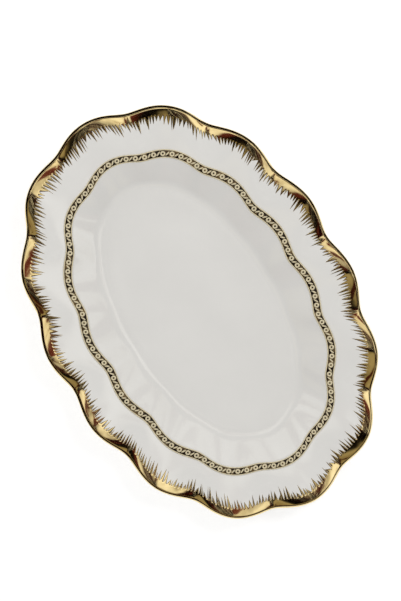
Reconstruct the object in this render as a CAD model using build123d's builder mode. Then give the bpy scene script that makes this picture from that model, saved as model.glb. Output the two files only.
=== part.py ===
"""Oval serving platter in glazed china: scalloped gilded rim, gilded chain band, bare foot ring.

Millimetres, +Z up. The origin is the centre of the plane the foot stands on, +X runs along the
long axis and +Y along the short one.
"""
from build123d import *
from math import cos, hypot, pi, sin
import os

os.makedirs("parts", exist_ok=True)

# ---------------------------------------------------------------- driving dimensions
# plan view, measured to the middle between lobe crests and notches
platter_length = 400.0          # along X, rim
platter_width = 273.4           # along Y, rim
flange_at_ends = 39.3           # rim to outer edge of the chain band
flange_at_sides = 34.7
band_width_at_ends = 7.3
band_width_at_sides = 8.1
cavetto_at_ends = 28.7          # sloping wall between the chain band and the well
cavetto_at_sides = 28.9
shoulder_fullness = 0.02        # how far the oval swells past an ellipse between its axes

# scallops
lobe_count = 14
rim_lobe_depth = 6.4            # crest to notch
band_lobe_depth = 4.2
notch_softness = 0.4            # 0 is a cusp, large is as round as the crests
points_per_lobe = 4

# heights
foot_height = 3.0
wall_at_well = 4.4              # floor thickness
wall_at_rim = 3.6
cavetto_rise = 14.6
flange_rise = 5.0
cavetto_curl = 1.45             # above 1 the wall steepens as it rises
cavetto_steps = 6
flange_curl = 1.25
flange_steps = 3

# lip
lip_width = 2.6                 # level top of the lip
lip_chamfer = 0.9

# foot ring
foot_width = 5.0
foot_taper = 1.2                # narrower by this much on each side at the bottom
foot_inset = 1.5                # in from the edge of the well

# gilding
gilding_thickness = 0.3
gilding_reach = 9.0             # in from the rim, over the flange
gilding_under = 1.6             # down the outside of the lip

# chain band
bead_width = 1.1
bead_height = 0.9
ground_thickness = 0.35
ring_wire = 0.62                # radius of the wire
ring_clearance = 0.3            # between a ring and the beads beside it, less where the band bends
ring_gap = 3.8                  # between one ring and the next, about
bar_radius = 0.75
bar_clearance = 0.08            # between a bar and the rings at its ends

# ---------------------------------------------------------------- derived heights
floor_z = foot_height + wall_at_well
shoulder_z = floor_z + cavetto_rise
rim_z = shoulder_z + flange_rise
gilding_z = rim_z - lip_chamfer - gilding_under

# ---------------------------------------------------------------- ovals: (half length, half width, lobe depth)
rim = (platter_length / 2, platter_width / 2, rim_lobe_depth)
band_outer = (rim[0] - flange_at_ends, rim[1] - flange_at_sides, band_lobe_depth)
band_inner = (band_outer[0] - band_width_at_ends, band_outer[1] - band_width_at_sides, band_lobe_depth)
well = (band_inner[0] - cavetto_at_ends, band_inner[1] - cavetto_at_sides, 0.0)


def inset(oval, distance):
    """The same oval, drawn in by a distance all round."""
    return (oval[0] - distance, oval[1] - distance, oval[2])


def between(start, end, share):
    """An oval part of the way from one to another."""
    return tuple(a + (b - a) * share for a, b in zip(start, end))


def smooth_oval(half_length, half_width, angle):
    """A point of the smooth oval that the lobes stand on, an ellipse filled out at its four shoulders."""
    swell = 1 + shoulder_fullness * sin(2 * angle) ** 2
    return half_length * cos(angle) * swell, half_width * sin(angle) * swell


def scallop(phase):
    """How far the lobed outline stands out, 1 at a crest and 0 at a notch, notches the sharper."""
    sharp = hypot(cos(pi * phase), notch_softness)
    return (sharp - notch_softness) / (hypot(1, notch_softness) - notch_softness)


def outline_points(oval):
    """Points at equal steps round the lobed oval, the first on the crest at +X."""
    half_length, half_width, lobe_depth = oval
    samples = 2000
    points = [smooth_oval(half_length, half_width, 2 * pi * i / samples) for i in range(samples + 1)]
    travelled = [0.0]
    for here, there in zip(points, points[1:]):
        travelled.append(travelled[-1] + hypot(there[0] - here[0], there[1] - here[1]))
    step = travelled[-1] / (points_per_lobe * lobe_count)
    chosen = []
    i = 0
    for k in range(points_per_lobe * lobe_count):
        while travelled[i + 1] < k * step:
            i += 1
        share = (k * step - travelled[i]) / (travelled[i + 1] - travelled[i])
        run_x = points[i + 1][0] - points[i][0]
        run_y = points[i + 1][1] - points[i][1]
        out = lobe_depth * (scallop(k / points_per_lobe) - 0.5) / hypot(run_x, run_y)
        chosen.append((points[i][0] + run_x * share + run_y * out, points[i][1] + run_y * share - run_x * out))
    return chosen


def lay(oval, height):
    """A closed lobed oval as a level face."""
    with BuildSketch(Plane.XY.offset(height)) as face:
        with BuildLine():
            Spline(*outline_points(oval), periodic=True)
        make_face()
    return face.sketch


def pile(levels):
    """A solid through lobed ovals, each given with its height."""
    with BuildPart() as form:
        loft([lay(oval, height) for oval, height in levels], ruled=True)
    return form.part


def disc(oval, bottom, height):
    """A flat plate with a lobed outline."""
    with BuildPart() as plate:
        extrude(lay(oval, bottom), amount=height)
    return plate.part


# ---------------------------------------------------------------- profile, from the well out to the lip
lip_inner = inset(rim, lip_width)
gilding_share = 1 - (gilding_reach - lip_width) / (flange_at_sides - lip_width)


def flange_level(share):
    """An oval of the flange's upper surface and its height, 0 at the chain band and 1 at the lip."""
    return between(band_outer, lip_inner, share), shoulder_z + flange_rise * share ** flange_curl


def cavetto_level(share):
    """An oval of the wall's upper surface and its height, 0 at the well and 1 at the chain band."""
    return between(well, band_inner, share), floor_z + cavetto_rise * share ** cavetto_curl


def lowered(levels, first_drop, last_drop):
    """Levels let down by an amount that runs from one to the other."""
    last = len(levels) - 1
    return [(oval, z - first_drop - (last_drop - first_drop) * k / last) for k, (oval, z) in enumerate(levels)]


cavetto = [cavetto_level(k / cavetto_steps) for k in range(cavetto_steps + 1)]
flange = [flange_level(gilding_share * k / flange_steps) for k in range(flange_steps + 1)]
flange.append(flange_level(1.0))
wall_at_band = (wall_at_well + wall_at_rim) / 2
under_profile = lowered(cavetto, wall_at_well, wall_at_band)
under_profile += lowered(flange, wall_at_band, wall_at_rim)[1:]
under_profile += [(rim, gilding_z), (rim, rim_z - lip_chamfer), (inset(rim, lip_chamfer), rim_z)]

# ---------------------------------------------------------------- platter body
under_form = pile(under_profile)
cavetto_space = pile(cavetto)
flange_space = pile(flange)
with BuildPart() as platter_body:
    add(under_form)
    add(cavetto_space, mode=Mode.SUBTRACT)
    add(flange_space, mode=Mode.SUBTRACT)
platter_body.part.label = "platter_body"

# ---------------------------------------------------------------- foot ring, left bare of glaze
foot_outer = inset(well, foot_inset)
foot_inner = inset(foot_outer, foot_width)
foot_block = pile([(inset(foot_outer, foot_taper), 0.0), (foot_outer, foot_height)])
foot_space = pile([(inset(foot_inner, -foot_taper), 0.0), (foot_inner, foot_height)])
with BuildPart() as foot_ring:
    add(foot_block)
    add(foot_space, mode=Mode.SUBTRACT)
foot_ring.part.label = "foot_ring"

# ---------------------------------------------------------------- gilding over the lip
gilded_rim = inset(rim, -gilding_thickness)
gilded_form = pile([
    (gilded_rim, gilding_z),
    (gilded_rim, rim_z - lip_chamfer),
    (inset(gilded_rim, lip_chamfer), rim_z + gilding_thickness),
])
gilding_edge, gilding_edge_z = flange[flange_steps]
ungilded = pile([
    (gilding_edge, gilding_z),
    (gilding_edge, gilding_edge_z + gilding_thickness),
    (lip_inner, rim_z + gilding_thickness),
])
with BuildPart() as rim_gilding:
    add(gilded_form)
    add(ungilded, mode=Mode.SUBTRACT)
    add(platter_body.part, mode=Mode.SUBTRACT)
rim_gilding.part.label = "rim_gilding"

# ---------------------------------------------------------------- chain band on the shoulder
bead_edges = (band_outer, inset(band_outer, bead_width), inset(band_inner, -bead_width), band_inner)
bead_discs = [disc(oval, shoulder_z, bead_height) for oval in bead_edges]
ground_discs = [disc(oval, shoulder_z, ground_thickness) for oval in bead_edges[1:3]]

with BuildPart() as band_outer_bead:
    add(bead_discs[0])
    add(bead_discs[1], mode=Mode.SUBTRACT)
band_outer_bead.part.label = "band_outer_bead"

with BuildPart() as band_inner_bead:
    add(bead_discs[2])
    add(bead_discs[3], mode=Mode.SUBTRACT)
band_inner_bead.part.label = "band_inner_bead"

with BuildPart() as band_ground:
    add(ground_discs[0])
    add(ground_discs[1], mode=Mode.SUBTRACT)
band_ground.part.label = "band_ground"

# the chain lies along the middle of the band
ground_z = shoulder_z + ground_thickness
ring_reach = min(band_width_at_ends, band_width_at_sides) / 2 - bead_width - ring_clearance
ring_radius = ring_reach - ring_wire
with BuildLine(Plane.XY.offset(ground_z)) as chain_path:
    Spline(*outline_points(between(band_outer, band_inner, 0.5)), periodic=True)
path = chain_path.wires()[0]
chain_count = round(path.length / (2 * ring_reach + ring_gap))
pitch = path.length / chain_count


def along(steps):
    """A place on the chain, this many ring spacings from its start, with X along the chain."""
    share = steps / chain_count
    return Location(Plane(origin=path.position_at(share), x_dir=path.tangent_at(share), z_dir=(0, 0, 1)))


# one ring: a round wire loop, its lower half sunk in the ground
with BuildPart() as one_ring:
    Torus(ring_radius, ring_wire)
    split(bisect_by=Plane.XY, keep=Keep.TOP)

with BuildPart() as chain_rings:
    with Locations(*[along(k) for k in range(chain_count)]):
        add(one_ring.part)
chain_rings.part.label = "chain_rings"

# one bar: a link seen on edge, bridging the gap between two rings
with BuildPart() as one_bar:
    Cylinder(bar_radius, pitch - 2 * ring_reach - 2 * bar_clearance, rotation=(0, 90, 0))
    split(bisect_by=Plane.XY, keep=Keep.TOP)

with BuildPart() as chain_bars:
    with Locations(*[along(k + 0.5) for k in range(chain_count)]):
        add(one_bar.part)
chain_bars.part.label = "chain_bars"

# ---------------------------------------------------------------- write every piece
for piece in (
    platter_body,
    foot_ring,
    rim_gilding,
    band_outer_bead,
    band_inner_bead,
    band_ground,
    chain_rings,
    chain_bars,
):
    export_step(piece.part, f"parts/{piece.part.label}.step")
print(f"chain: {chain_count} rings at {pitch:.3f} mm, ring reach {ring_reach:.2f} mm, shoulder at {shoulder_z:.2f} mm")
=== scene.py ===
"""The look of an oval china serving platter, built round its CAD frame.

Every piece is a lobed oval surface. A piece starts as a plain grid or spin and is laid on the
platter's surface, which is worked out from the frame's boxes and the sizes below. Metres, +Z up.
"""

import random
from math import atan2, copysign, cos, pi, radians, sin, tau

import bmesh
import bpy
import numpy as np
from mathutils import Matrix, Vector


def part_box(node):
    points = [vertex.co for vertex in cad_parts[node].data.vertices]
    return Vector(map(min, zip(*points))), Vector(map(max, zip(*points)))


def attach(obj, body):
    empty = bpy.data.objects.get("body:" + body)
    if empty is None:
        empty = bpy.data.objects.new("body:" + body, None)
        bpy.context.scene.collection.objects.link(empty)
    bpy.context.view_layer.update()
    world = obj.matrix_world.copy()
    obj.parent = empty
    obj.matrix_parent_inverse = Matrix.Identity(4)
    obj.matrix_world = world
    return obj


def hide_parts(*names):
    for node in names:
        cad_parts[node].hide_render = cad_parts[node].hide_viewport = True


bl_info = {
    "name": "China Serving Platter",
    "version": (1, 0, 0),
    "blender": (4, 5, 0),
    "location": "View3D > Sidebar > Platter",
    "description": "Builds a scalloped china platter with a gilded rim and a gilded chain band",
    "category": "Object",
}

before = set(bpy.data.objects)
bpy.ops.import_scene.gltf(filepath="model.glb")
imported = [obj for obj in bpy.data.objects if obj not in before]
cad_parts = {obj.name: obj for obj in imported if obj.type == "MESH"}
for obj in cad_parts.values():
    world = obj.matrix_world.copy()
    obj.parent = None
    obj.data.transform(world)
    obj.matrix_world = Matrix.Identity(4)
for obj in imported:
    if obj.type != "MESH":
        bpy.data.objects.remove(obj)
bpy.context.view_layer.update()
BODY = "root"
MM = 0.001
TINY = 1e-12
UNIT = {"unit": "LENGTH", "subtype": "DISTANCE", "precision": 4}


# ------------------------------------------------------------------ what a user may change
class PlatterForm(bpy.types.PropertyGroup):
    """Shape of the china."""

    lobes: bpy.props.IntProperty(name="Lobes", description="Scallops round the rim", default=14, min=3)
    rim_lobe: bpy.props.FloatProperty(
        name="Rim lobe", description="Crest to notch at the rim", default=6.4 * MM, **UNIT)
    band_lobe: bpy.props.FloatProperty(
        name="Band lobe", description="Crest to notch at the chain band", default=4.2 * MM, **UNIT)
    notch_softness: bpy.props.FloatProperty(
        name="Notch softness", description="0 is a cusp, 1 as round as a crest", default=0.4)
    shoulder_fullness: bpy.props.FloatProperty(
        name="Fullness", description="Swell of the oval past an ellipse", default=0.02)
    flute: bpy.props.FloatProperty(
        name="Flute", description="Drop of the rim from a crest to a notch", default=4.6 * MM, **UNIT)
    flute_curve: bpy.props.FloatProperty(
        name="Flute curve", default=1.3,
        description="1 is straight from crest to notch, more is rounder on top")
    crease: bpy.props.FloatProperty(
        name="Crease", default=0.035,
        description="Share of a lobe over which a notch's valley is rounded")
    flange_ease: bpy.props.FloatProperty(
        name="Flange ease", default=1.15,
        description="1 is a straight flange, more levels off towards the lip")
    floor_wall: bpy.props.FloatProperty(
        name="Floor", description="Thickness of the china under the well", default=4.4 * MM, **UNIT)
    rim_wall: bpy.props.FloatProperty(
        name="Rim wall", description="Thickness of the china near the rim", default=3.6 * MM, **UNIT)
    foot_inset: bpy.props.FloatProperty(
        name="Foot inset", description="From the well's edge in to the foot ring", default=1.5 * MM, **UNIT)
    lip_bevel: bpy.props.FloatProperty(
        name="Lip bevel", description="1 rounds the lip, 2 cuts it to a straight bevel", default=1.85)
    lip_roll: bpy.props.FloatProperty(
        name="Lip roll", description="How far in from the edge the bevelled lip starts",
        default=2.2 * MM, **UNIT)


class PlatterGilding(bpy.types.PropertyGroup):
    """Gold on the rim and the chain band."""

    gold: bpy.props.FloatVectorProperty(
        name="Gold", description="Colour of burnished gold", subtype="COLOR",
        default=(0.94, 0.77, 0.42))
    relief: bpy.props.FloatVectorProperty(
        name="Relief gold", description="Colour of the raised chain", subtype="COLOR",
        default=(1.0, 0.89, 0.62))
    reach: bpy.props.FloatProperty(
        name="Reach", description="Solid gold in from the lip", default=5.9 * MM, **UNIT)
    film: bpy.props.FloatProperty(
        name="Film", description="How far the gold stands off the glaze", default=0.07 * MM, **UNIT)
    strokes: bpy.props.IntProperty(
        name="Strokes", description="Brush strokes to each lobe", default=24, min=4)
    stroke_length: bpy.props.FloatProperty(
        name="Stroke length", description="Longest brush stroke", default=12 * MM, **UNIT)
    seed: bpy.props.IntProperty(name="Seed", description="Picks the brush strokes", default=7)
    rings: bpy.props.IntProperty(name="Rings", description="Rings in the chain", default=100, min=10)
    ring_wire: bpy.props.FloatProperty(
        name="Ring wire", description="Radius of a ring's wire", default=0.82 * MM, **UNIT)
    bead: bpy.props.FloatProperty(
        name="Bead", description="Width of the raised lines beside the chain", default=1.1 * MM, **UNIT)
    ring_clearance: bpy.props.FloatProperty(
        name="Ring clearance", description="Between a ring and the lines beside it",
        default=0.12 * MM, **UNIT)


class PlatterGlaze(bpy.types.PropertyGroup):
    """Colours of the china and the table."""

    glaze: bpy.props.FloatVectorProperty(
        name="Glaze", description="Colour of the white glaze", subtype="COLOR",
        default=(0.83, 0.815, 0.78))
    bare: bpy.props.FloatVectorProperty(
        name="Bare china", description="Colour of the ground foot", subtype="COLOR",
        default=(0.72, 0.67, 0.59))
    table: bpy.props.FloatVectorProperty(
        name="Table", description="Colour of the table", subtype="COLOR", default=(0.94, 0.94, 0.94))


# ------------------------------------------------------------------ the lobed oval
def scallop(phase, softness):
    """1 at a crest and 0 at a notch."""
    return (np.hypot(np.cos(pi * phase), softness) - softness) / (np.hypot(1, softness) - softness)


OVAL_STEPS = 1440


def oval_point(form, half_length, half_width, angle):
    """Points of the plain oval, a little fuller than an ellipse between its axes."""
    swell = 1 + form.shoulder_fullness * np.sin(2 * angle) ** 2
    return half_length * np.cos(angle) * swell, half_width * np.sin(angle) * swell


def oval_run(form, half_length, half_width, angle):
    """Which way the plain oval runs at an angle."""
    swell = 1 + form.shoulder_fullness * np.sin(2 * angle) ** 2
    growth = 4 * form.shoulder_fullness * np.sin(2 * angle) * np.cos(2 * angle)
    run_x = half_length * (np.cos(angle) * growth - np.sin(angle) * swell)
    run_y = half_width * (np.sin(angle) * growth + np.cos(angle) * swell)
    return run_x, run_y


def travel(x, y):
    """How far along a line of points each of them is."""
    return np.concatenate([[0], np.cumsum(np.hypot(np.diff(x), np.diff(y)))])


def outline(form, oval, turns):
    """Points of a lobed oval (half length, half width, lobe) at shares of the way round it."""
    half_length, half_width, lobe = oval
    angle = np.linspace(0, tau, OVAL_STEPS + 1)
    travelled = travel(*oval_point(form, half_length, half_width, angle))
    place = np.interp(turns % 1.0, travelled / max(travelled[-1], TINY), angle)
    x, y = oval_point(form, half_length, half_width, place)
    run_x, run_y = oval_run(form, half_length, half_width, place)
    height = lobe * (scallop(turns * form.lobes, form.notch_softness) - 0.5)
    out = height / np.maximum(np.hypot(run_x, run_y), TINY)
    return x + run_y * out, y - run_x * out


def oval_of(form, node, lobe):
    """The oval whose lobed outline fills a CAD node's box."""
    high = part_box(node)[1]
    half_length, half_width = high.x - lobe / 2, high.y - lobe / 2
    samples, tries = 100 * form.lobes, 4
    turns = np.linspace(0, 1, samples + 1)
    for _ in range(tries):
        half_width += high.y - outline(form, (half_length, half_width, lobe), turns)[1].max()
    return half_length, half_width, lobe


def inset(oval, distance):
    """The same oval drawn in all round."""
    return oval[0] - distance, oval[1] - distance, oval[2]


def between(start, end, share):
    """An oval part of the way from one to another."""
    return tuple(a + (b - a) * share for a, b in zip(start, end))


# ------------------------------------------------------------------ the platter's surface
class Surface:
    """The glazed surface as a lattice of rows, from the middle of the well over the lip and back under.

    A place on it is (turns, row): how far round, and how far along the profile in whole parts
    of it: 0 to 1 is the well, then the wall, the shoulder, the flange, the lip and the underside.
    """

    PARTS = ("well", "wall", "shoulder", "flange", "lip", "under")
    SHOULDER, LIP = 2.0, 4.0
    ROWS = {"well": 12, "wall": 20, "shoulder": 4, "flange": 26, "lip": 16, "under": 26}
    COLUMNS = 60
    CENTRE = (0.0, 0.0, 0.0)
    WELL_DISH = 0.5 * MM
    WALL_EASE = 0.3
    FLUTE_FADE = 1.5
    FLANGE_END, WALL_END = 0.42, 0.78
    SHOULDER_THICKNESS, OUTER_CURVE = 0.95, 1.35

    def __init__(self, form):
        self.form = form
        self.shoulder_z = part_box("band_ground")[0].z
        self.rim_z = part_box("platter_body")[1].z
        self.foot_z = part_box("foot_ring")[1].z
        self.floor_z = self.foot_z + form.floor_wall
        self.rim = oval_of(form, "platter_body", form.rim_lobe)
        self.lip_inner = inset(self.rim, form.lip_roll)
        self.band_outer = oval_of(form, "band_outer_bead", form.band_lobe)
        bead = self.band_outer[0] - oval_of(form, "band_ground", form.band_lobe)[0]
        self.band_inner = inset(oval_of(form, "band_inner_bead", form.band_lobe), bead)
        foot_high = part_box("foot_ring")[1]
        self.well = (foot_high.x + form.foot_inset, foot_high.y + form.foot_inset, 0.0)
        self.places = []
        for k, part in enumerate(self.PARTS):
            steps = self.ROWS[part]
            self.places += [k + i / steps for i in range(steps)]
        self.places.append(float(len(self.PARTS)))
        columns = self.COLUMNS * form.lobes
        self.turns = np.arange(columns + 1) / columns
        self.lattice = np.stack([self.row(place) for place in self.places])
        self.lattice[:, -1] = self.lattice[:, 0]
        self.normals = self.find_normals()

    def find_normals(self):
        """The outward normal at every point of the lattice."""
        across = np.gradient(self.lattice, axis=0)
        ring = self.lattice[:, :-1]
        around = np.roll(ring, -1, axis=1) - np.roll(ring, 1, axis=1)
        around = np.concatenate([around, around[:, :1]], axis=1)
        normal = np.cross(across, around)
        return normal / np.maximum(np.linalg.norm(normal, axis=2, keepdims=True), TINY)

    def flutes(self, share):
        """Height of the flange's flutes, 0 on the crests and down in the notches."""
        phase = self.turns * self.form.lobes
        from_crest = np.abs(phase - np.rint(phase))
        fall = np.maximum(0.5 - np.hypot(0.5 - from_crest, self.form.crease), 0.0)
        return -self.form.flute * share * (2 * fall) ** self.form.flute_curve

    def row(self, place):
        """One ring of points at a place along the profile."""
        index = min(int(place), len(self.PARTS) - 1)
        profile = (
            self.well_at, self.wall_at, self.shoulder_at, self.flange_at, self.lip_at, self.under_at)
        oval, z = profile[index](place - index)
        x, y = outline(self.form, oval, self.turns)
        return np.stack([x, y, np.zeros_like(x) + z], axis=1)

    # each part of the profile gives its oval and height at a share of the way across it
    def well_at(self, t):
        return between(self.CENTRE, self.well, t), self.floor_z - self.WELL_DISH * (1 - t * t) ** 2

    def wall_at(self, t):
        ease = self.WALL_EASE
        rise = t * t / (2 * ease) if t < ease else t - ease / 2
        height = (self.shoulder_z - self.floor_z) * rise / (1 - ease / 2)
        return between(self.well, self.band_inner, t), self.floor_z + height

    def shoulder_at(self, t):
        return between(self.band_inner, self.band_outer, t), self.shoulder_z

    def flange_at(self, t):
        rise = 1 - (1 - t) ** self.form.flange_ease
        height = (self.rim_z - self.shoulder_z) * rise + self.flutes(t ** self.FLUTE_FADE)
        return between(self.band_outer, self.lip_inner, t), self.shoulder_z + height

    def lip_at(self, t):
        turn, bevel = pi * t, self.form.lip_bevel
        drop = self.form.rim_wall * (1 - copysign(abs(cos(turn)) ** bevel, cos(turn))) / 2
        oval = inset(self.rim, self.form.lip_roll * (1 - max(sin(turn), 0.0) ** bevel))
        return oval, self.rim_z - drop + self.flutes(1.0)

    def under_at(self, t):
        """The underside, from the lip in to the middle."""
        shoulder_z = self.shoulder_z - self.form.floor_wall * self.SHOULDER_THICKNESS
        if t < self.FLANGE_END:
            share = 1 - t / self.FLANGE_END
            rise = 1 - (1 - share) ** self.form.flange_ease
            z = shoulder_z + (self.rim_z - self.form.rim_wall - shoulder_z) * rise
            z = z + self.flutes(share ** self.FLUTE_FADE)
            return between(self.band_inner, self.lip_inner, share), z
        if t < self.WALL_END:
            share = 1 - (t - self.FLANGE_END) / (self.WALL_END - self.FLANGE_END)
            z = self.foot_z + (shoulder_z - self.foot_z) * share ** self.OUTER_CURVE
            return between(self.well, self.band_inner, share), z
        share = 1 - (t - self.WALL_END) / (1 - self.WALL_END)
        return between(self.CENTRE, self.well, share), self.foot_z

    def at(self, turns, place):
        """Points and outward normals at places on the surface."""
        column = (turns % 1.0) * (len(self.turns) - 1)
        row = np.interp(place, self.places, np.arange(len(self.places)))
        c, r = np.floor(column).astype(int), np.floor(row).astype(int)
        c, r = np.minimum(c, len(self.turns) - 2), np.minimum(r, len(self.places) - 2)
        u, v = (column - c)[:, None], (row - r)[:, None]

        def blend(grid):
            low = grid[r, c] * (1 - u) + grid[r, c + 1] * u
            high = grid[r + 1, c] * (1 - u) + grid[r + 1, c + 1] * u
            return low * (1 - v) + high * v

        normal = blend(self.normals)
        return blend(self.lattice), normal / np.linalg.norm(normal, axis=1, keepdims=True)

    def flange_place(self, distance):
        """The place on the flange at a distance in from the lip roll."""
        return self.LIP - distance / (self.lip_inner[1] - self.band_outer[1])


# ------------------------------------------------------------------ mesh helpers
def grid_mesh(columns, rows):
    """A flat grid bmesh, and each vertex's share across and up."""
    bm = bmesh.new()
    bmesh.ops.create_grid(bm, x_segments=columns, y_segments=rows, size=0.5)
    flat = np.array([v.co for v in bm.verts]) + 0.5
    return bm, flat[:, 0], flat[:, 1]


def lay(bm, points):
    """Put every vertex at its point."""
    for vertex, point in zip(bm.verts, points.tolist()):
        vertex.co = point


def finish_piece(bm, name, material, nodes):
    """Close the seams, face everything outwards and hand the piece to the frame."""
    seam = 0.002 * MM
    bmesh.ops.remove_doubles(bm, verts=bm.verts, dist=seam)
    bmesh.ops.recalc_face_normals(bm, faces=bm.faces)
    mesh = bpy.data.meshes.new(name)
    bm.to_mesh(mesh)
    bm.free()
    for polygon in mesh.polygons:
        polygon.use_smooth = True
    mesh.materials.append(material)
    piece = bpy.data.objects.new(name, mesh)
    bpy.context.scene.collection.objects.link(piece)
    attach(piece, BODY)
    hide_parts(*nodes)
    return piece


# ------------------------------------------------------------------ materials
class Nodes:
    """Short calls for building a material's nodes."""

    def __init__(self, name):
        self.material = bpy.data.materials.new(name)
        self.material.use_nodes = True
        self.tree = self.material.node_tree
        self.shader = self.tree.nodes["Principled BSDF"]
        self.coords = self.add("ShaderNodeTexCoord").outputs["Object"]

    def add(self, kind, **settings):
        node = self.tree.nodes.new(kind)
        for key, value in settings.items():
            setattr(node, key, value)
        return node

    def link(self, source, target):
        self.tree.links.new(source, target)

    def noise(self, scale, detail=3.0, roughness=0.5):
        node = self.add("ShaderNodeTexNoise")
        node.inputs["Scale"].default_value = scale
        node.inputs["Detail"].default_value = detail
        node.inputs["Roughness"].default_value = roughness
        self.link(self.coords, node.inputs["Vector"])
        return node.outputs["Fac"]

    def ramp(self, source, *stops):
        node = self.add("ShaderNodeValToRGB")
        ramp = node.color_ramp
        for k, (position, colour) in enumerate(stops):
            stop = ramp.elements[k] if k < 2 else ramp.elements.new(position)
            stop.position, stop.color = position, (*colour, 1)
        self.link(source, node.inputs["Fac"])
        return node.outputs["Color"]

    def level(self, source, low, high):
        node = self.add("ShaderNodeMapRange")
        node.inputs["To Min"].default_value, node.inputs["To Max"].default_value = low, high
        self.link(source, node.inputs["Value"])
        return node.outputs["Result"]

    def bump(self, source, distance, strength=1.0, under=None):
        node = self.add("ShaderNodeBump")
        node.inputs["Distance"].default_value = distance
        node.inputs["Strength"].default_value = strength
        self.link(source, node.inputs["Height"])
        if under:
            self.link(under, node.inputs["Normal"])
        return node.outputs["Normal"]

    def shade(self, **values):
        for key, value in values.items():
            self.shader.inputs[key.replace("_", " ")].default_value = value


def tint(colour, factor):
    """A colour made lighter or darker."""
    return tuple(min(1.0, c * factor) for c in colour)


def white_glaze(look):
    """Glossy warm white glaze with a faint mottle and a soft orange peel."""
    m = Nodes("white_glaze")
    mottle = m.noise(14, 4, 0.6)
    colour = m.ramp(mottle, (0.3, tint(look.glaze, 0.975)), (0.7, tint(look.glaze, 1.015)))
    m.link(colour, m.shader.inputs["Base Color"])
    m.link(m.level(m.noise(60), 0.06, 0.12), m.shader.inputs["Roughness"])
    peel = m.bump(m.noise(220, 2), 0.02 * MM, 0.5)
    m.link(m.bump(m.noise(18, 2), 0.25 * MM, 0.4, peel), m.shader.inputs["Normal"])
    m.shade(IOR=1.5, Coat_Weight=0.6, Coat_Roughness=0.03)
    return m.material


def bare_china(look):
    """Ground china without glaze, a little stained and gritty."""
    m = Nodes("bare_china")
    colour = m.ramp(m.noise(90, 6, 0.65), (0.3, tint(look.bare, 0.86)), (0.7, look.bare))
    m.link(colour, m.shader.inputs["Base Color"])
    m.link(m.level(m.noise(300), 0.7, 0.95), m.shader.inputs["Roughness"])
    m.link(m.bump(m.noise(900, 4), 0.08 * MM), m.shader.inputs["Normal"])
    return m.material


def bright_gold(gilding):
    """Burnished gold lustre over glaze, with faint brush streaks and thin spots."""
    m = Nodes("bright_gold")
    colour = m.ramp(m.noise(45, 5, 0.6), (0.3, tint(gilding.gold, 0.86)), (0.65, gilding.gold))
    m.link(colour, m.shader.inputs["Base Color"])
    m.link(m.level(m.noise(120, 4), 0.03, 0.08), m.shader.inputs["Roughness"])
    m.link(m.bump(m.noise(45, 2), 0.22 * MM, 0.6), m.shader.inputs["Normal"])
    m.shade(Metallic=1.0)
    return m.material


def relief_gold(gilding):
    """Pale gold on the raised chain and the lines beside it, lighter than the other gold, with a faint
    random mottle.
    """
    m = Nodes("relief_gold")
    colour = m.ramp(m.noise(220, 4, 0.6), (0.3, tint(gilding.relief, 0.85)), (0.65, gilding.relief))
    m.link(colour, m.shader.inputs["Base Color"])
    m.link(m.level(m.noise(300, 4), 0.4, 0.55), m.shader.inputs["Roughness"])
    m.link(m.bump(m.noise(600, 3), 0.05 * MM, 0.5), m.shader.inputs["Normal"])
    m.shade(Metallic=0.35)
    return m.material


def band_gold(gilding):
    """Satin gold in the ground of the chain band, with random near-black patches that are painted shade of
    the raised chain.
    """
    m = Nodes("band_gold")
    # the near-black stop is painted shade of the raised chain; the tan stop is the gold's own colour
    colour = m.ramp(m.noise(160, 5, 0.6), (0.48, (0.015, 0.007, 0.004)), (0.62, (0.26, 0.18, 0.085)))
    m.link(colour, m.shader.inputs["Base Color"])
    m.link(m.level(m.noise(300, 4), 0.2, 0.4), m.shader.inputs["Roughness"])
    m.link(m.bump(m.noise(500, 3), 0.1 * MM, 0.6), m.shader.inputs["Normal"])
    m.shade(Metallic=0.5)
    return m.material


# ------------------------------------------------------------------ pieces
def settings(context):
    scene = context.scene
    return scene.platter_form, scene.platter_gilding, scene.platter_glaze


class PLATTER_OT_china(bpy.types.Operator):
    """Build the glazed china: well, wall, shoulder, fluted flange, bevelled lip and underside"""

    bl_idname = "platter.china"
    bl_label = "China Body"

    def execute(self, context):
        form, _, look = settings(context)
        surface = Surface(form)
        rows, columns = len(surface.places) - 1, len(surface.turns) - 1
        bm, across, up = grid_mesh(columns, rows)
        column, row = np.rint(across * columns).astype(int), np.rint(up * rows).astype(int)
        lay(bm, surface.lattice[row, column % columns])
        finish_piece(bm, "china_body", white_glaze(look), ["platter_body"])
        return {"FINISHED"}


class PLATTER_OT_foot(bpy.types.Operator):
    """Give the bare foot ring its ground china finish"""

    bl_idname = "platter.foot"
    bl_label = "Foot Ring"

    def execute(self, context):
        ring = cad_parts["foot_ring"]
        ring.data.materials.clear()
        ring.data.materials.append(bare_china(settings(context)[2]))
        return {"FINISHED"}


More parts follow.
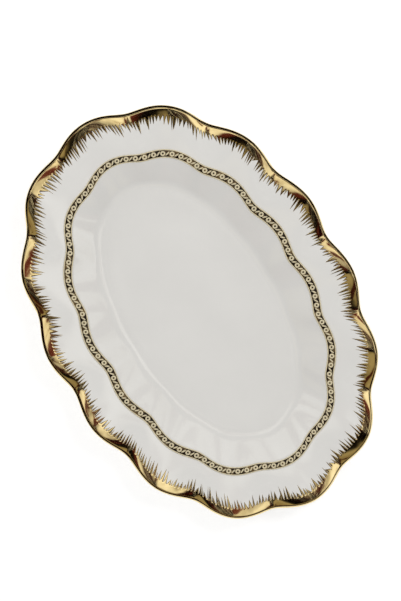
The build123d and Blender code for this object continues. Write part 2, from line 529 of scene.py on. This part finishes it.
class PLATTER_OT_rim_gilding(bpy.types.Operator):
    """Lay gold over the lip and feather its inner edge with tapering brush strokes"""

    bl_idname = "platter.rim_gilding"
    bl_label = "Rim Gilding"

    STROKE_CELLS = 3
    SOLID_ROWS = 14
    STROKE_ROWS = 5
    LIP_START, LIP_SHARE = 4.85, 0.5
    SHORTEST, SHORT_SKEW = 0.35, 1.1
    LEAN, LEAN_STEP, LEAN_SPREAD = 0.55, 0.21, 0.25
    SHARPEST, BLUNTEST = 0.7, 1.3
    CUT_SPREAD = 0.32
    SKIN = 1.6

    def execute(self, context):
        form, gilding, _ = settings(context)
        surface = Surface(form)
        count = gilding.strokes * form.lobes
        cells, rows = self.STROKE_CELLS + 1, self.SOLID_ROWS + self.STROKE_ROWS
        bm, across, up = grid_mesh(count * cells, rows)
        column, row = np.rint(across * count * cells).astype(int), np.rint(up * rows).astype(int)
        stroke, cell = column // cells % count, column % cells
        length, lean, bluntness, cut = self.draw_strokes(gilding, count)
        left, right = cut[stroke], np.append(cut[1:], cut[0] + 1)[stroke]
        share = cell / self.STROKE_CELLS
        past = np.maximum(row - self.SOLID_ROWS, 0) / self.STROKE_ROWS
        taper = 1 - past ** bluntness[stroke]
        middle = (left + right) / 2 + lean[stroke] * (right - left) * past
        turns = middle + (share - 0.5) * (right - left) * taper
        solid = np.minimum(row / self.SOLID_ROWS, 1.0)
        roll = np.interp(solid, [0, self.LIP_SHARE], [self.LIP_START, surface.LIP])
        flat = surface.flange_place(gilding.reach * (solid - self.LIP_SHARE) / (1 - self.LIP_SHARE))
        brushed = surface.flange_place(gilding.reach + length[stroke] * past)
        place = np.where(solid < self.LIP_SHARE, roll, np.where(past > 0, brushed, flat))
        point, normal = surface.at(turns, place)
        lay(bm, point + normal * gilding.film)
        self.part_strokes(bm, column, row, cells)
        piece = finish_piece(bm, "rim_gold", bright_gold(gilding), ["rim_gilding"])
        skin = piece.modifiers.new("skin", "SOLIDIFY")
        skin.thickness, skin.offset = gilding.film * self.SKIN, -1.0
        return {"FINISHED"}

    def draw_strokes(self, gilding, count):
        """Each stroke's length, its lean, how blunt its point is and where its root is cut."""
        draw = random.Random(gilding.seed)
        length = np.array([
            gilding.stroke_length
            * (self.SHORTEST + (1 - self.SHORTEST) * draw.random() ** self.SHORT_SKEW)
            for _ in range(count)])
        sweep = draw.uniform(0, tau)
        lean = np.array([
            self.LEAN * sin(sweep + k * self.LEAN_STEP) + draw.uniform(-self.LEAN_SPREAD, self.LEAN_SPREAD)
            for k in range(count)])
        bluntness = np.array([draw.uniform(self.SHARPEST, self.BLUNTEST) for _ in range(count)])
        shift = np.array([draw.uniform(-self.CUT_SPREAD, self.CUT_SPREAD) for _ in range(count)])
        cut = np.sort((np.arange(count) + shift) / count)
        return length, lean, bluntness, cut

    def part_strokes(self, bm, column, row, cells):
        """Delete the faces in the gaps between strokes."""
        bm.verts.ensure_lookup_table()
        bm.verts.index_update()
        gap = {0, cells - 1}
        gaps = []
        for face in bm.faces:
            found = [v.index for v in face.verts]
            if max(row[i] for i in found) > self.SOLID_ROWS and gap <= {column[i] % cells for i in found}:
                gaps.append(face)
        bmesh.ops.delete(bm, geom=gaps, context="FACES_ONLY")


STRIP_ROWS = 8
SQUARE_TOP, ROUND_TOP = 0.35, 1.0
STRIP_SINK = 0.1


def band_strip(surface, inner_share, outer_share, height, top, name, material, node):
    """A closed strip along the shoulder, between two shares of its width, with a square or round top."""
    columns = len(surface.turns) - 1
    bm, across, up = grid_mesh(columns, STRIP_ROWS)
    angle = up * tau
    middle, half = (inner_share + outer_share) / 2, (outer_share - inner_share) / 2
    rounding = np.sign(np.cos(angle)) * np.abs(np.cos(angle)) ** top
    point, _ = surface.at(across, surface.SHOULDER + middle + half * rounding)
    point[:, 2] = surface.shoulder_z + height * np.maximum(np.sin(angle), -STRIP_SINK)
    lay(bm, point)
    return finish_piece(bm, name, material, [node])


class PLATTER_OT_band(bpy.types.Operator):
    """Build the gold ground of the chain band and the raised lines beside it"""

    bl_idname = "platter.band"
    bl_label = "Band Ground and Lines"

    TUCK = 0.7

    def execute(self, context):
        form, gilding, _ = settings(context)
        surface = Surface(form)
        width = surface.band_outer[1] - surface.band_inner[1]
        share = gilding.bead / width
        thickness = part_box("band_ground")[1].z - surface.shoulder_z
        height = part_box("band_outer_bead")[1].z - surface.shoulder_z
        bright, satin_painted_shade = relief_gold(gilding), band_gold(gilding)
        tuck = share * self.TUCK
        band_strip(surface, tuck, 1 - tuck, thickness, SQUARE_TOP,
                   "band_ground_gold", satin_painted_shade, "band_ground")
        band_strip(surface, 0.0, share, height, ROUND_TOP,
                   "inner_line", bright, "band_inner_bead")
        band_strip(surface, 1 - share, 1.0, height, ROUND_TOP,
                   "outer_line", bright, "band_outer_bead")
        return {"FINISHED"}


PATH_STEPS = 8400


def band_path(surface):
    """Points along the middle of the band, and how far along it each of them is."""
    oval = between(surface.band_inner, surface.band_outer, 0.5)
    x, y = outline(surface.form, oval, np.linspace(0, 1, PATH_STEPS + 1))
    return x, y, travel(x, y)


def chain_places(surface, count, shift):
    """Matrices along the middle of the band, X along the chain and Z up."""
    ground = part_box("chain_rings")[0].z
    x, y, travelled = band_path(surface)

    def at(distance):
        return Vector((np.interp(distance, travelled, x), np.interp(distance, travelled, y), ground))

    for k in range(count):
        distance = (k + shift) / count * travelled[-1]
        here = at(distance)
        along = at((distance + MM) % travelled[-1]) - here
        yield Matrix.Translation(here) @ Matrix.Rotation(atan2(along.y, along.x), 4, "Z")


class PLATTER_OT_chain(bpy.types.Operator):
    """Build the raised chain: flat rings with a slanted bar between each two"""

    bl_idname = "platter.chain"
    bl_label = "Chain"

    SLANT = radians(48)
    WIRE_SIDES, RING_STEPS = 8, 14
    BEAD_SIDES, BEAD_ROWS = 8, 6
    RING_LIFT, BAR_LIFT = 0.35, 0.3
    BAR_LENGTH, BAR_WIDTH, BAR_HEIGHT = 1.5, 0.95, 1.1

    def execute(self, context):
        form, gilding, _ = settings(context)
        surface = Surface(form)
        half_width = (surface.band_outer[0] - surface.band_inner[0]) / 2
        reach = half_width - gilding.bead - gilding.ring_clearance
        rings = bmesh.new()
        for place in chain_places(surface, gilding.rings, 0.0):
            self.ring(rings, place, reach - gilding.ring_wire, gilding.ring_wire)
        gold = relief_gold(gilding)
        finish_piece(rings, "chain_rings_gold", gold, ["chain_rings"])
        pitch = band_path(surface)[2][-1] / gilding.rings
        bars = bmesh.new()
        for place in chain_places(surface, gilding.rings, 0.5):
            self.bar(bars, place, pitch / 2 - reach, gilding.ring_wire)
        finish_piece(bars, "chain_bars_gold", gold, ["chain_bars"])
        return {"FINISHED"}

    def ring(self, bm, place, radius, wire):
        """A round wire loop lying flat."""
        section = Matrix.Translation((radius, 0, wire * self.RING_LIFT)) @ Matrix.Rotation(pi / 2, 4, "X")
        made = bmesh.ops.create_circle(bm, segments=self.WIRE_SIDES, radius=wire, matrix=section)
        edges = list({e for v in made["verts"] for e in v.link_edges})
        bmesh.ops.spin(bm, geom=made["verts"] + edges, cent=(0, 0, 0), axis=(0, 0, 1),
                       angle=tau, steps=self.RING_STEPS, use_merge=True)
        bmesh.ops.transform(bm, matrix=place, verts=[v for v in bm.verts if not v.tag])
        for vertex in bm.verts:
            vertex.tag = True

    def bar(self, bm, place, reach, wire):
        """A link seen on edge: a long slanted bead between two rings."""
        made = bmesh.ops.create_uvsphere(
            bm, u_segments=self.BEAD_SIDES, v_segments=self.BEAD_ROWS, radius=1.0)
        size = (reach * self.BAR_LENGTH, wire * self.BAR_WIDTH, wire * self.BAR_HEIGHT, 1)
        stretch = Matrix.Diagonal(size)
        slant = Matrix.Rotation(self.SLANT, 4, "Z")
        lift = Matrix.Translation((0, 0, wire * self.BAR_LIFT))
        bmesh.ops.transform(bm, matrix=place @ lift @ slant @ stretch, verts=made["verts"])


# ------------------------------------------------------------------ stage
class PLATTER_OT_stage(bpy.types.Operator):
    """Set the pale table, the soft studio light and the camera"""

    bl_idname = "platter.stage"
    bl_label = "Stage"

    TILT, LEAN, ROLL = radians(11.7), radians(175.4), radians(58.26)
    DISTANCE, SCALE = 3.0, 1.11 / MM
    AIM = (-0.64, 12.0)
    AIM_HEIGHT = 15 * MM
    LONG_SIDE, SENSOR = 601, 36.0
    TABLE_HALF, TABLE_GLOW = 20.0, 0.3
    # how far to the side and beyond the platter each lamp stands, its height, its size and its power
    LAMPS = {"key": (0.9, 1.05, 1.3, 0.9, 7.4), "fill": (-1.2, 0.1, 1.2, 0.8, 3.4)}
    ROOM_GREY = 0.66

    def execute(self, context):
        scene = context.scene
        look = scene.platter_glaze
        self.table(look)
        right, up, back = self.camera(scene)
        self.lights(scene, right, up)
        self.surroundings(scene, right, up, back)
        scene.view_settings.view_transform = "Standard"
        return {"FINISHED"}

    def table(self, look):
        bm = bmesh.new()
        bmesh.ops.create_grid(bm, x_segments=2, y_segments=2, size=self.TABLE_HALF)
        mesh = bpy.data.meshes.new("table")
        bm.to_mesh(mesh)
        bm.free()
        m = Nodes("table_top")
        colour = m.ramp(m.noise(3), (0.3, tint(look.table, 0.99)), (0.7, look.table))
        m.link(colour, m.shader.inputs["Base Color"])
        m.shade(Roughness=0.8, Emission_Color=(1, 1, 1, 1), Emission_Strength=self.TABLE_GLOW)
        mesh.materials.append(m.material)
        table = bpy.data.objects.new("table", mesh)
        bpy.context.scene.collection.objects.link(table)

    def camera(self, scene):
        """A long lens nearly overhead, leaning towards the platter's -X end."""
        back = Vector((sin(self.TILT) * cos(self.LEAN), sin(self.TILT) * sin(self.LEAN), cos(self.TILT)))
        level = Vector((1, 0, 0))
        level = (level - back * level.dot(back)).normalized()
        side = (-back).cross(level)
        right = level * cos(self.ROLL) - side * sin(self.ROLL)
        down = level * sin(self.ROLL) + side * cos(self.ROLL)
        data = bpy.data.cameras.new("camera")
        data.lens = self.SCALE * self.DISTANCE * self.SENSOR / self.LONG_SIDE
        data.sensor_width = self.SENSOR
        data.clip_end = 100
        camera = bpy.data.objects.new("camera", data)
        scene.collection.objects.link(camera)
        middle = Vector((0, 0, self.AIM_HEIGHT)) - (right * self.AIM[0] + down * self.AIM[1]) / self.SCALE
        turn = Matrix((right, -down, back)).transposed().to_4x4()
        camera.matrix_world = Matrix.Translation(middle + back * self.DISTANCE) @ turn
        scene.camera = camera
        return right, -down, back

    def lights(self, scene, right, up):
        """Soft lamps, placed by how the camera sees the platter. Gloss shows the room, not the lamps."""
        flat_right = Vector((right.x, right.y, 0)).normalized()
        flat_up = Vector((up.x, up.y, 0)).normalized()
        for name, (side, beyond, height, size, power) in self.LAMPS.items():
            data = bpy.data.lights.new(name, "AREA")
            data.shape, data.size, data.energy = "DISK", size, power
            lamp = bpy.data.objects.new(name, data)
            lamp.location = flat_right * side + flat_up * beyond + Vector((0, 0, height))
            lamp.rotation_euler = (-lamp.location).to_track_quat("-Z", "Y").to_euler()
            lamp.visible_glossy = lamp.visible_camera = False
            scene.collection.objects.link(lamp)

    def surroundings(self, scene, right, up, back):
        """A plain grey room. Gloss alone sees one in dark and pale bands, pale towards the view's top."""
        world = bpy.data.worlds.new("room")
        scene.world = world
        world.use_nodes = True
        tree = world.node_tree
        link = tree.links.new
        way = tree.nodes.new("ShaderNodeTexCoord").outputs["Generated"]

        def along(direction):
            dot = tree.nodes.new("ShaderNodeVectorMath")
            dot.operation = "DOT_PRODUCT"
            dot.inputs[1].default_value = direction
            link(way, dot.inputs[0])
            return dot.outputs["Value"]

        def ramp(source, low, high, stops):
            spread = tree.nodes.new("ShaderNodeMapRange")
            spread.inputs["From Min"].default_value, spread.inputs["From Max"].default_value = low, high
            link(source, spread.inputs["Value"])
            node = tree.nodes.new("ShaderNodeValToRGB")
            elements = node.color_ramp.elements
            elements.remove(elements[1])
            for k, (place, colour) in enumerate(stops):
                position = (place - low) / (high - low)
                stop = elements.new(position) if k else elements[0]
                stop.position, stop.color = position, (*colour, 1)
            link(spread.outputs["Result"], node.inputs["Fac"])
            return node.outputs["Color"]

        def waver(source, amount):
            add = tree.nodes.new("ShaderNodeMath")
            add.operation = "MULTIPLY_ADD"
            add.inputs[1].default_value = amount
            link(drift, add.inputs[0])
            link(source, add.inputs[2])
            return add.outputs["Value"]

        def cloud(scale, detail, distortion):
            noise = tree.nodes.new("ShaderNodeTexNoise")
            noise.inputs["Scale"].default_value = scale
            noise.inputs["Detail"].default_value = detail
            noise.inputs["Distortion"].default_value = distortion
            link(way, noise.inputs["Vector"])
            return noise.outputs["Fac"]

        def blend(first, second, kind):
            product = tree.nodes.new("ShaderNodeMix")
            product.data_type, product.blend_type = "RGBA", kind
            product.inputs["Factor"].default_value = 1.0
            link(first, product.inputs["A"])
            link(second, product.inputs["B"])
            return product.outputs["Result"]

        drift = cloud(2.6, 1.0, 0.0)
        black, umber, olive = (0.006, 0.004, 0.003), (0.13, 0.028, 0.02), (0.37, 0.31, 0.18)
        pale, bright, plain = (0.95, 0.92, 0.85), (1.3, 1.28, 1.2), (1.0, 1.0, 1.0)
        walls = ramp(waver(along(up + right * 0.25), 0.3), -0.9, 0.8, (
            (-0.72, umber), (-0.64, olive), (-0.32, olive), (-0.3, black), (-0.24, black), (-0.22, umber),
            (-0.17, umber), (-0.15, pale), (0.15, bright), (0.5, pale)))
        facing = Vector((-back.x, -back.y, back.z))
        maker = ramp(waver(along(facing), 0.012), -0.8, 1.01, (
            (-0.64, plain), (-0.5, black), (0.32, black), (0.37, plain), (0.58, plain), (0.62, black),
            (0.85, black), (0.88, plain), (0.987, plain), (0.992, black)))
        patches = ramp(cloud(6.5, 3.0, 0.0), 0.0, 1.0, (
            (0.38, (0.1, 0.025, 0.02)), (0.43, (0.15, 0.04, 0.03)), (0.45, (0.7, 0.66, 0.58)), (0.6, plain)))
        wisps = ramp(cloud(24.0, 1.0, 1.2), 0.0, 1.0, (
            (0.56, black), (0.6, (0.7, 0.66, 0.6)), (0.63, (0.7, 0.66, 0.6)), (0.67, black)))
        near = ramp(along(facing), 0.9, 1.01, ((0.98, black), (0.99, plain)))
        shade = blend(blend(walls, maker, "MULTIPLY"), patches, "MULTIPLY")
        shade = blend(shade, blend(wisps, near, "MULTIPLY"), "ADD")
        room = tree.nodes.new("ShaderNodeMix")
        room.data_type = "RGBA"
        room.inputs["A"].default_value = (self.ROOM_GREY, self.ROOM_GREY, self.ROOM_GREY, 1)
        link(tree.nodes.new("ShaderNodeLightPath").outputs["Is Glossy Ray"], room.inputs["Factor"])
        link(shade, room.inputs["B"])
        link(room.outputs["Result"], tree.nodes["Background"].inputs["Color"])


# ------------------------------------------------------------------ panel and registration
PIECES = (
    PLATTER_OT_china,
    PLATTER_OT_foot,
    PLATTER_OT_rim_gilding,
    PLATTER_OT_band,
    PLATTER_OT_chain,
    PLATTER_OT_stage,
)


class PLATTER_PT_panel(bpy.types.Panel):
    """Pieces and sizes of the platter."""

    bl_idname = "PLATTER_PT_panel"
    bl_label = "China Serving Platter"
    bl_space_type = "VIEW_3D"
    bl_region_type = "UI"
    bl_category = "Platter"

    def draw(self, context):
        for piece in PIECES:
            self.layout.operator(piece.bl_idname)
        for group in settings(context):
            box = self.layout.box()
            for name in group.bl_rna.properties.keys():
                if name not in {"rna_type", "name"}:
                    box.prop(group, name)


GROUPS = {"platter_form": PlatterForm, "platter_gilding": PlatterGilding, "platter_glaze": PlatterGlaze}


def register():
    for name, group in GROUPS.items():
        bpy.utils.register_class(group)
        setattr(bpy.types.Scene, name, bpy.props.PointerProperty(type=group))
    for kind in (*PIECES, PLATTER_PT_panel):
        bpy.utils.register_class(kind)


def unregister():
    for kind in reversed((*PIECES, PLATTER_PT_panel)):
        bpy.utils.unregister_class(kind)
    for name, group in GROUPS.items():
        delattr(bpy.types.Scene, name)
        bpy.utils.unregister_class(group)


def main():
    register()
    bpy.ops.platter.china()
    bpy.ops.platter.foot()
    bpy.ops.platter.rim_gilding()
    bpy.ops.platter.band()
    bpy.ops.platter.chain()
    bpy.ops.platter.stage()


if __name__ == "__main__":
    main()
